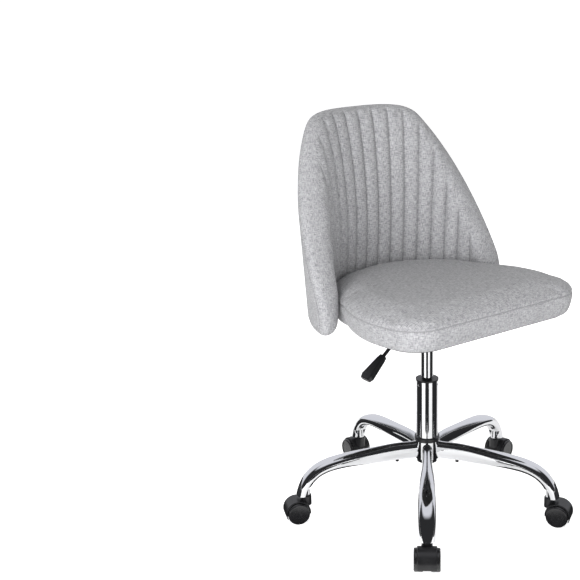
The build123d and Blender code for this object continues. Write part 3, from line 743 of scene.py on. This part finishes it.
class CHAIR_OT_back_pad(bpy.types.Operator):
    """Stuff the inner face of the back and sew its upright channels"""

    bl_idname = "chair.back_pad"
    bl_label = "Back Pad"

    def execute(self, context):
        back = context.scene.chair_back
        rear_edge = back.thickness / 2

        def front_depth(angle, height, distance):
            share, within = seam_share(back, angle)
            channel = (1 - np.abs(share) ** CHANNEL_POWER) ** CHANNEL_ROUND
            wing = 1 - np.exp(-seam_gap(back, angle) / WING_SWELL)
            puff = np.where(within, channel, wing)
            depth = lumbar_depth(back, height) - seam_fade(angle, distance) * back.rib * (1 - puff)
            return rear_edge + (depth - rear_edge) * quarter_round(distance / (EDGE_ROUND * depth))

        def rear_depth(angle, height, distance):
            low, high = (back.panel_inset + reach for reach in BED_SIDE)
            bed = BED_DEPTH * smooth_step(low, high, distance)
            return rear_edge * (1 - quarter_round(distance / rear_edge)) + bed

        item = joined_shell("back_pad_cloth", back, 0.0, front_depth, rear_depth)
        angle, height, depth = cone_place(item, back)
        front = depth > rear_edge + FRONT_START
        distance = distance_at(back, angle, height)
        sewn = (seam_gap(back, angle) < SEWN_ANGLE) & (distance > SEWN_INSET)
        pinned = np.where(front & ~sewn, 0.0, 1.0)
        swell(item, pinned, back.pressure, back.cap, BACK_STIFFNESS)
        subdivide(item, levels=1)
        angle, height, depth = cone_place(item, back)
        distance = distance_at(back, angle, height)
        low, high = (rear_edge + reach for reach in FRONT_BAND)
        shown = smooth_step(low, high, depth) * seam_fade(angle, distance)
        gap = seam_gap(back, angle) * (back.radius - depth)
        crease = CREASE_DEPTH * np.exp(-(gap / CREASE_WIDTH) ** 2) * shown
        put_points(item.data, back_points(back, angle, height, depth - crease))
        write_back_uv(item, back, angle, height, depth)
        add_attribute(item.data, "seam", np.exp(-(gap / BACK_THREAD) ** 2) * shown)
        add_attribute(item.data, "along", height)
        shade_smooth(item)
        set_material(item, cloth_material("back_cloth", context.scene.chair_finish))
        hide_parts("back_front_pad")
        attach(item, "seat")
        return {"FINISHED"}


class CHAIR_OT_rear_panel(bpy.types.Operator):
    """Stretch the smooth rear panel over the back"""

    bl_idname = "chair.rear_panel"
    bl_label = "Rear Panel"

    def execute(self, context):
        back = context.scene.chair_back
        inset = back.panel_inset

        def inner_depth(angle, height, distance):
            return PANEL_RIM + PANEL_INNER * quarter_round((distance - inset) / PANEL_INNER_ROUND)

        def outer_depth(angle, height, distance):
            return PANEL_RIM - PANEL_OUTER * quarter_round((distance - inset) / PANEL_OUTER_ROUND)

        item = joined_shell("rear_panel_cloth", back, inset, inner_depth, outer_depth)
        angle, height, _ = cone_place(item, back)
        write_uv(item.data, "Cloth", angle * PANEL_RADIUS, height)
        edge = distance_at(back, angle, height) - inset
        add_attribute(item.data, "seam", np.exp(-(edge / PANEL_THREAD) ** 2))
        add_attribute(item.data, "along", height)
        shade_smooth(item)
        set_material(item, cloth_material("panel_cloth", context.scene.chair_finish))
        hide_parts("back_rear_panel")
        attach(item, "seat")
        return {"FINISHED"}


# Shader node groups
def new_group(name, inputs, outputs):
    group = bpy.data.node_groups.get(name)
    if group:
        return group, None, None
    group = bpy.data.node_groups.new(name, "ShaderNodeTree")
    for label, kind, default in inputs:
        socket = group.interface.new_socket(name=label, in_out="INPUT", socket_type=kind)
        if default is not None:
            socket.default_value = default
    for label, kind in outputs:
        group.interface.new_socket(name=label, in_out="OUTPUT", socket_type=kind)
    return group, group.nodes.new("NodeGroupInput"), group.nodes.new("NodeGroupOutput")


# Numbers of a Mix node's two inputs and of its output, for each kind of value
MIX_SOCKETS = {"FLOAT": (2, 3, 0), "VECTOR": (4, 5, 1), "RGBA": (6, 7, 2)}


class Tree:
    """Short ways to add and wire shader nodes."""

    def __init__(self, tree):
        self.tree = tree

    def put(self, kind, **settings):
        node = self.tree.nodes.new(kind)
        for key, value in settings.items():
            setattr(node, key, value)
        return node

    def wire(self, value, socket):
        if isinstance(value, bpy.types.NodeSocket):
            self.tree.links.new(value, socket)
        else:
            socket.default_value = value

    def math(self, operation, *values):
        node = self.put("ShaderNodeMath", operation=operation)
        for value, socket in zip(values, node.inputs):
            self.wire(value, socket)
        return node.outputs[0]

    def mix(self, factor, first, second, kind="RGBA"):
        node = self.put("ShaderNodeMix", data_type=kind)
        low, high, result = MIX_SOCKETS[kind]
        self.wire(factor, node.inputs[0])
        self.wire(first, node.inputs[low])
        self.wire(second, node.inputs[high])
        return node.outputs[result]

    def tinted(self, colour, mask, amount, other):
        """A colour with some of another one where the mask is full."""
        return self.mix(self.math("MULTIPLY", mask, amount), colour, other)

    def raised(self, base, mask, amount):
        """A value that grows by an amount where the mask is full."""
        return self.math("ADD", self.math("MULTIPLY", mask, amount), base)

    def bump(self, shader, height, strength, distance):
        node = self.put("ShaderNodeBump")
        node.inputs["Strength"].default_value = strength
        node.inputs["Distance"].default_value = distance
        self.wire(height, node.inputs["Height"])
        self.wire(node.outputs[0], shader.inputs["Normal"])

    def noise(self, vector, scale, detail=2.0, roughness=0.5, stretch=None):
        if stretch:
            node = self.put("ShaderNodeMapping")
            node.inputs["Scale"].default_value = stretch
            self.wire(vector, node.inputs["Vector"])
            vector = node.outputs[0]
        node = self.put("ShaderNodeTexNoise")
        node.inputs["Scale"].default_value = scale
        node.inputs["Detail"].default_value = detail
        node.inputs["Roughness"].default_value = roughness
        self.wire(vector, node.inputs["Vector"])
        return node.outputs[0]

    def ramp(self, value, low, high):
        node = self.put("ShaderNodeMapRange", clamp=True, interpolation_type="SMOOTHSTEP")
        self.wire(value, node.inputs[0])
        node.inputs[1].default_value = low
        node.inputs[2].default_value = high
        return node.outputs[0]


def weave_group():
    """Plain weave of mixed pale and dark yarn: which yarn shows, and how high it stands."""
    group, source, sink = new_group(
        "heather_weave",
        [("Vector", "NodeSocketVector", None), ("Yarn", "NodeSocketFloat", YARN_PITCH)],
        [("Pale", "NodeSocketFloat"), ("Height", "NodeSocketFloat")],
    )
    if source is None:
        return group
    tree = Tree(group)
    vector = source.outputs["Vector"]
    split = tree.put("ShaderNodeSeparateXYZ")
    tree.wire(vector, split.inputs[0])
    warp = tree.math("DIVIDE", split.outputs[0], source.outputs["Yarn"])
    weft = tree.math("DIVIDE", split.outputs[1], source.outputs["Yarn"])
    parity = tree.math("ADD", tree.math("FLOOR", warp), tree.math("FLOOR", weft))
    over = tree.math("FLOORED_MODULO", parity, 2.0)
    warp_round = tree.math("ABSOLUTE", tree.math("SINE", tree.math("MULTIPLY", warp, pi)))
    weft_round = tree.math("ABSOLUTE", tree.math("SINE", tree.math("MULTIPLY", weft, pi)))
    up_yarn = tree.noise(vector, scale=1.0, roughness=0.6, stretch=UP_YARN)
    cross_yarn = tree.noise(vector, scale=1.0, roughness=0.6, stretch=CROSS_YARN)
    blotch = tree.noise(vector, scale=38.0, detail=3.0, roughness=0.6)
    top_yarn = tree.mix(over, up_yarn, cross_yarn, "FLOAT")
    both = tree.raised(tree.math("MULTIPLY", up_yarn, YARN_SHARE), cross_yarn, YARN_SHARE)
    mixed = tree.raised(both, top_yarn, TOP_YARN_SHARE)
    mixed = tree.raised(mixed, tree.math("SUBTRACT", blotch, 0.5), BLOTCH_SHARE)
    tree.wire(tree.ramp(mixed, low=0.36, high=0.64), sink.inputs["Pale"])
    height = tree.mix(over, warp_round, weft_round, "FLOAT")
    slub = tree.math("SUBTRACT", both, YARN_SHARE)
    tree.wire(tree.raised(height, slub, SLUB_HEIGHT), sink.inputs["Height"])
    return group


def stitch_group():
    """A sewn line: a crease darkened with painted shade, with a broken row of thread along it."""
    group, source, sink = new_group(
        "sewn_line",
        [("Seam", "NodeSocketFloat", 0.0), ("Along", "NodeSocketFloat", 0.0),
         ("Stitch", "NodeSocketFloat", STITCH_LENGTH)],
        [("PaintedShade", "NodeSocketFloat"), ("Thread", "NodeSocketFloat")],
    )
    if source is None:
        return group
    tree = Tree(group)
    stitches = tree.math("DIVIDE", source.outputs["Along"], source.outputs["Stitch"])
    beat = tree.math("SINE", tree.math("MULTIPLY", stitches, 2 * pi))
    dash = tree.ramp(beat, low=-0.5, high=0.1)
    core = tree.ramp(source.outputs["Seam"], low=0.72, high=0.92)
    # The first output is painted shade that darkens the crease of the sewn line
    tree.wire(tree.ramp(source.outputs["Seam"], low=0.05, high=0.9), sink.inputs["PaintedShade"])
    tree.wire(tree.math("MULTIPLY", core, dash), sink.inputs["Thread"])
    return group


def grain_group():
    """Fine moulded grain with faint scuffs and dust."""
    group, source, sink = new_group(
        "moulded_grain",
        [("Vector", "NodeSocketVector", None), ("Grain", "NodeSocketFloat", 1400.0)],
        [("Height", "NodeSocketFloat"), ("Scuff", "NodeSocketFloat"), ("Dust", "NodeSocketFloat")],
    )
    if source is None:
        return group
    tree = Tree(group)
    fine = tree.put("ShaderNodeTexNoise")
    fine.inputs["Detail"].default_value = 3.0
    tree.wire(source.outputs["Vector"], fine.inputs["Vector"])
    tree.wire(source.outputs["Grain"], fine.inputs["Scale"])
    tree.wire(fine.outputs[0], sink.inputs["Height"])
    scuff = tree.noise(
        source.outputs["Vector"], scale=1.0, detail=4.0, roughness=0.65, stretch=(260.0, 120.0, 420.0))
    tree.wire(tree.ramp(scuff, low=0.56, high=0.78), sink.inputs["Scuff"])
    dust = tree.noise(source.outputs["Vector"], scale=45.0, detail=5.0, roughness=0.7)
    tree.wire(tree.ramp(dust, low=0.45, high=0.8), sink.inputs["Dust"])
    return group


# Finishes
def start_material(name):
    material = bpy.data.materials.get(name)
    if material:
        return material, None, None
    material = bpy.data.materials.new(name)
    material.use_nodes = True
    return material, Tree(material.node_tree), material.node_tree.nodes["Principled BSDF"]


def use_group(tree, group, **values):
    node = tree.put("ShaderNodeGroup", node_tree=group)
    for label, value in values.items():
        tree.wire(value, node.inputs[label])
    return node


def cloth_material(name, finish):
    """Heathered weave with sewn lines darkened by painted shade; the strip round an edge has a flat place
    of its own.
    """
    material, tree, shader = start_material(name)
    if tree is None:
        return material
    face = tree.put("ShaderNodeUVMap", uv_map="Cloth")
    strip = tree.put("ShaderNodeUVMap", uv_map="Edge")
    edge = tree.put("ShaderNodeAttribute", attribute_name="edge")
    on_strip = tree.ramp(edge.outputs["Fac"], low=0.49, high=0.51)
    place = tree.mix(on_strip, face.outputs[0], strip.outputs[0], "VECTOR")
    weave = use_group(tree, weave_group(), Vector=place, Yarn=YARN_PITCH)
    seam = tree.put("ShaderNodeAttribute", attribute_name="seam")
    along = tree.put("ShaderNodeAttribute", attribute_name="along")
    line = use_group(
        tree, stitch_group(), Seam=seam.outputs["Fac"], Along=along.outputs["Fac"], Stitch=STITCH_LENGTH)
    colour = tree.mix(weave.outputs["Pale"], (*finish.dark_yarn, 1.0), (*finish.light_yarn, 1.0))
    fleck = tree.ramp(tree.noise(place, scale=760.0), low=0.64, high=0.74)
    colour = tree.tinted(colour, fleck, amount=0.22, other=DARK_FLECK)
    # Painted shade darkens the cloth along each sewn line
    colour = tree.tinted(colour, line.outputs["PaintedShade"], amount=0.42, other=CREASE_PAINTED_SHADE)
    colour = tree.tinted(colour, line.outputs["Thread"], amount=0.5, other=SEWING_THREAD)
    tree.wire(colour, shader.inputs["Base Color"])
    tree.wire(tree.raised(base=0.86, mask=weave.outputs["Pale"], amount=0.08), shader.inputs["Roughness"])
    shader.inputs["Specular IOR Level"].default_value = 0.25
    shader.inputs["Sheen Weight"].default_value = 0.18
    shader.inputs["Sheen Roughness"].default_value = 0.5
    height = tree.math("ADD", weave.outputs["Height"], line.outputs["Thread"])
    tree.bump(shader, height, strength=0.55, distance=0.0004)
    return material


def chrome_material(finish):
    """Polished plating with faint smears."""
    material, tree, shader = start_material("polished_chrome")
    if tree is None:
        return material
    place = tree.put("ShaderNodeTexCoord")
    grain = use_group(tree, grain_group(), Vector=place.outputs["Object"], Grain=900.0)
    smear = tree.noise(place.outputs["Object"], scale=22.0, detail=4.0, roughness=0.6)
    colour = tree.tinted((*finish.chrome, 1.0), smear, amount=0.12, other=CHROME_SMEAR)
    tree.wire(colour, shader.inputs["Base Color"])
    shader.inputs["Metallic"].default_value = 1.0
    rough = tree.raised(base=0.035, mask=tree.ramp(smear, low=0.45, high=0.75), amount=0.03)
    tree.wire(tree.raised(rough, grain.outputs["Scuff"], amount=0.03), shader.inputs["Roughness"])
    tree.bump(shader, smear, strength=0.02, distance=0.0002)
    return material


def moulded_material(name, colour, roughness, grain_size, depth, shine=0.35):
    """Moulded or coated black: a fine grain with faint dust and scuffs."""
    material, tree, shader = start_material(name)
    if tree is None:
        return material
    place = tree.put("ShaderNodeTexCoord")
    grain = use_group(tree, grain_group(), Vector=place.outputs["Object"], Grain=grain_size)
    tint = tree.tinted((*colour, 1.0), grain.outputs["Dust"], amount=0.05, other=PALE_DUST)
    tint = tree.tinted(tint, grain.outputs["Scuff"], amount=0.04, other=PALE_SCUFF)
    tree.wire(tint, shader.inputs["Base Color"])
    rough = tree.raised(roughness, grain.outputs["Scuff"], amount=0.14)
    tree.wire(rough, shader.inputs["Roughness"])
    shader.inputs["Specular IOR Level"].default_value = shine
    tree.bump(shader, grain.outputs["Height"], strength=depth, distance=0.0002)
    return material


def steel_material(finish):
    """Zinc-plated steel with brushed streaks."""
    material, tree, shader = start_material("zinc_steel")
    if tree is None:
        return material
    place = tree.put("ShaderNodeTexCoord")
    grain = use_group(tree, grain_group(), Vector=place.outputs["Object"], Grain=700.0)
    brush = tree.noise(
        place.outputs["Object"], scale=1.0, detail=3.0, roughness=0.6, stretch=(900.0, 900.0, 60.0))
    colour = tree.tinted((*finish.steel, 1.0), brush, amount=0.4, other=BRUSHED_STEEL)
    tree.wire(colour, shader.inputs["Base Color"])
    shader.inputs["Metallic"].default_value = 1.0
    rough = tree.raised(base=0.24, mask=brush, amount=0.18)
    tree.wire(tree.raised(rough, grain.outputs["Scuff"], amount=0.1), shader.inputs["Roughness"])
    tree.bump(shader, brush, strength=0.08, distance=0.0002)
    return material


def plywood_material():
    """Bare birch plywood with long fibres."""
    material, tree, shader = start_material("birch_plywood")
    if tree is None:
        return material
    place = tree.put("ShaderNodeTexCoord")
    fibre = tree.noise(
        place.outputs["Object"], scale=1.0, detail=5.0, roughness=0.6, stretch=(14.0, 190.0, 420.0))
    tree.wire(tree.mix(fibre, PALE_BIRCH, DARK_BIRCH), shader.inputs["Base Color"])
    tree.wire(tree.raised(base=0.55, mask=fibre, amount=0.2), shader.inputs["Roughness"])
    tree.bump(shader, fibre, strength=0.2, distance=0.0003)
    return material


class CHAIR_OT_finishes(bpy.types.Operator):
    """Give every carried-over solid its finish"""

    bl_idname = "chair.finishes"
    bl_label = "Finishes"

    def execute(self, context):
        finish = context.scene.chair_finish
        plastic = tuple(finish.plastic)
        by_slot = {
            "chrome": chrome_material(finish),
            "black_plastic": moulded_material(
                "satin_black_moulding", plastic, roughness=0.30, grain_size=1500.0, depth=0.10, shine=0.5),
            "wheel_nylon": moulded_material(
                "black_wheel_nylon", plastic, roughness=0.24, grain_size=1100.0, depth=0.05, shine=0.75),
            "plain_steel": steel_material(finish),
            "black_steel": moulded_material(
                "black_powder_coat", plastic, roughness=0.46, grain_size=800.0, depth=0.25),
            "rubber": moulded_material("black_rubber", RUBBER, roughness=0.72, grain_size=500.0, depth=0.2),
            "plywood": plywood_material(),
            "dust_cloth": moulded_material(
                "black_dust_cloth", DUST_CLOTH, roughness=0.88, grain_size=420.0, depth=0.6),
        }
        for entry in frame["record"]["subparts"]:
            if entry["material_slot"] in by_slot:
                set_material(frame["nodes"][entry["node"]], by_slot[entry["material_slot"]])
        return {"FINISHED"}


class CHAIR_OT_stage(bpy.types.Operator):
    """Set the floor, softboxes, dark cards and camera"""

    bl_idname = "chair.stage"
    bl_label = "Stage"

    def execute(self, context):
        stage = context.scene.chair_stage
        self.floor(stage)
        self.world(stage)
        self.softbox("key_softbox", *KEY_SOFTBOX, stage.key)
        self.softbox("fill_softbox", *FILL_SOFTBOX, stage.fill)
        self.softbox("rear_softbox", *REAR_SOFTBOX, stage.fill)
        self.cards()
        self.camera(stage)
        context.scene.view_settings.view_transform = "Standard"
        return {"FINISHED"}

    def floor(self, stage):
        deselect_all()
        bpy.ops.mesh.primitive_plane_add(size=FLOOR_SIZE, location=(0.0, 0.0, FLOOR_HEIGHT))
        floor = bpy.context.active_object
        floor.name = "studio_floor"
        material = bpy.data.materials.new("studio_floor")
        material.use_nodes = True
        tree = Tree(material.node_tree)
        tree.tree.nodes.clear()
        light = tree.put("ShaderNodeLightPath")
        seen = tree.math("MAXIMUM", light.outputs["Is Camera Ray"], light.outputs["Is Transmission Ray"])
        mirrored = tree.math("MULTIPLY", light.outputs["Is Glossy Ray"], MIRRORED_GLOW)
        seen = tree.math("MAXIMUM", seen, mirrored)
        diffuse = tree.put("ShaderNodeBsdfDiffuse")
        diffuse.inputs["Color"].default_value = (*stage.floor, 1.0)
        glow = tree.put("ShaderNodeEmission")
        tree.wire(tree.math("MULTIPLY", seen, FLOOR_GLOW), glow.inputs["Strength"])
        add = tree.put("ShaderNodeAddShader")
        tree.wire(diffuse.outputs[0], add.inputs[0])
        tree.wire(glow.outputs[0], add.inputs[1])
        out = tree.put("ShaderNodeOutputMaterial")
        tree.wire(add.outputs[0], out.inputs["Surface"])
        set_material(floor, material)

    def world(self, stage):
        world = bpy.data.worlds.new("studio_sky")
        bpy.context.scene.world = world
        world.use_nodes = True
        tree = Tree(world.node_tree)
        tree.tree.nodes.clear()
        light = tree.put("ShaderNodeLightPath")
        seen = tree.math("MAXIMUM", light.outputs["Is Camera Ray"], light.outputs["Is Transmission Ray"])
        plain = tree.raised(stage.sky, seen, 1.0 - stage.sky)
        mirrored = light.outputs["Is Glossy Ray"]
        back = tree.put("ShaderNodeBackground")
        tree.wire(tree.mix(mirrored, PLAIN_WHITE, ROOM_TINT), back.inputs["Color"])
        tree.wire(tree.mix(mirrored, plain, self.room(tree), "FLOAT"), back.inputs["Strength"])
        out = tree.put("ShaderNodeOutputWorld")
        tree.wire(back.outputs[0], out.inputs["Surface"])

    def room(self, tree):
        """What polished metal mirrors: a pale ceiling and backdrop, and a dark studio by the camera."""
        place = tree.put("ShaderNodeTexCoord")
        split = tree.put("ShaderNodeSeparateXYZ")
        tree.wire(place.outputs["Generated"], split.inputs[0])
        across = tree.math("ADD", tree.math("MULTIPLY", split.outputs[0], TO_CAMERA.x),
                           tree.math("MULTIPLY", split.outputs[1], TO_CAMERA.y))
        backdrop = tree.math("SUBTRACT", 1.0, tree.ramp(across, *BACKDROP_EDGE))
        ceiling = tree.ramp(split.outputs[2], *CEILING_EDGE)
        return tree.raised(ROOM_DARK, tree.math("MAXIMUM", backdrop, ceiling), ROOM_GLOW)

    def softbox(self, name, place, aim, size, power):
        deselect_all()
        bpy.ops.object.light_add(type="AREA", location=place)
        lamp = bpy.context.active_object
        lamp.name = name
        lamp.data.size = size
        lamp.data.energy = power
        lamp.visible_glossy = False
        lamp.rotation_mode = "QUATERNION"
        lamp.rotation_quaternion = (Vector(aim) - Vector(place)).to_track_quat("-Z", "Y")

    def cards(self):
        """Dark cards out of view, which draw the dark streaks in the chrome."""
        material = bpy.data.materials.new("dark_card")
        material.use_nodes = True
        shader = material.node_tree.nodes["Principled BSDF"]
        shader.inputs["Base Color"].default_value = CARD_BLACK
        shader.inputs["Roughness"].default_value = CARD_ROUGHNESS
        aside = Vector((-TO_CAMERA.y, TO_CAMERA.x, 0.0))
        for name, (low, high, near, far) in CARDS.items():
            deselect_all()
            bpy.ops.mesh.primitive_plane_add(size=1.0)
            card = bpy.context.active_object
            card.name = name
            corners = []
            for heading, reach in ((low, near), (high, near), (low, far), (high, far)):
                corners.append((TO_CAMERA * cos(radians(heading)) + aside * sin(radians(heading))) * reach)
            put_points(card.data, np.array([(place.x, place.y, CARD_HEIGHT) for place in corners]))
            set_material(card, material)
            card.visible_camera = False
            card.visible_diffuse = False
            card.visible_shadow = False

    def camera(self, stage):
        deselect_all()
        bpy.ops.object.camera_add(location=CAMERA_PLACE, rotation=CAMERA_TURN)
        camera = bpy.context.active_object
        camera.name = "photo_camera"
        camera.data.lens = stage.lens
        camera.data.sensor_width = SENSOR_WIDTH
        camera.data.shift_x, camera.data.shift_y = CAMERA_SHIFT
        camera.data.clip_end = VIEW_END
        bpy.context.scene.camera = camera


class CHAIR_PT_dresser(bpy.types.Panel):
    """Buttons that dress the chair, in order"""

    bl_idname = "CHAIR_PT_dresser"
    bl_label = "Swivel Chair"
    bl_space_type = "VIEW_3D"
    bl_region_type = "UI"
    bl_category = "Chair"

    def draw(self, context):
        for step in STEPS:
            self.layout.operator(step.bl_idname)
        for group in SETTINGS:
            settings = getattr(context.scene, group)
            box = self.layout.box()
            for name in settings.__annotations__:
                box.prop(settings, name)


SETTINGS = {
    "chair_seat": SeatSettings,
    "chair_back": BackSettings,
    "chair_finish": FinishSettings,
    "chair_stage": StageSettings,
}
STEPS = (
    CHAIR_OT_seat_cushion,
    CHAIR_OT_back_pad,
    CHAIR_OT_rear_panel,
    CHAIR_OT_finishes,
    CHAIR_OT_stage,
)


def register():
    for name, settings in SETTINGS.items():
        bpy.utils.register_class(settings)
        setattr(bpy.types.Scene, name, PointerProperty(type=settings))
    for step in STEPS:
        bpy.utils.register_class(step)
    bpy.utils.register_class(CHAIR_PT_dresser)


def unregister():
    bpy.utils.unregister_class(CHAIR_PT_dresser)
    for step in reversed(STEPS):
        bpy.utils.unregister_class(step)
    for name, settings in SETTINGS.items():
        delattr(bpy.types.Scene, name)
        bpy.utils.unregister_class(settings)


def main():
    register()
    for step in STEPS:
        group, name = step.bl_idname.split(".")
        getattr(getattr(bpy.ops, group), name)()


if __name__ == "__main__":
    main()
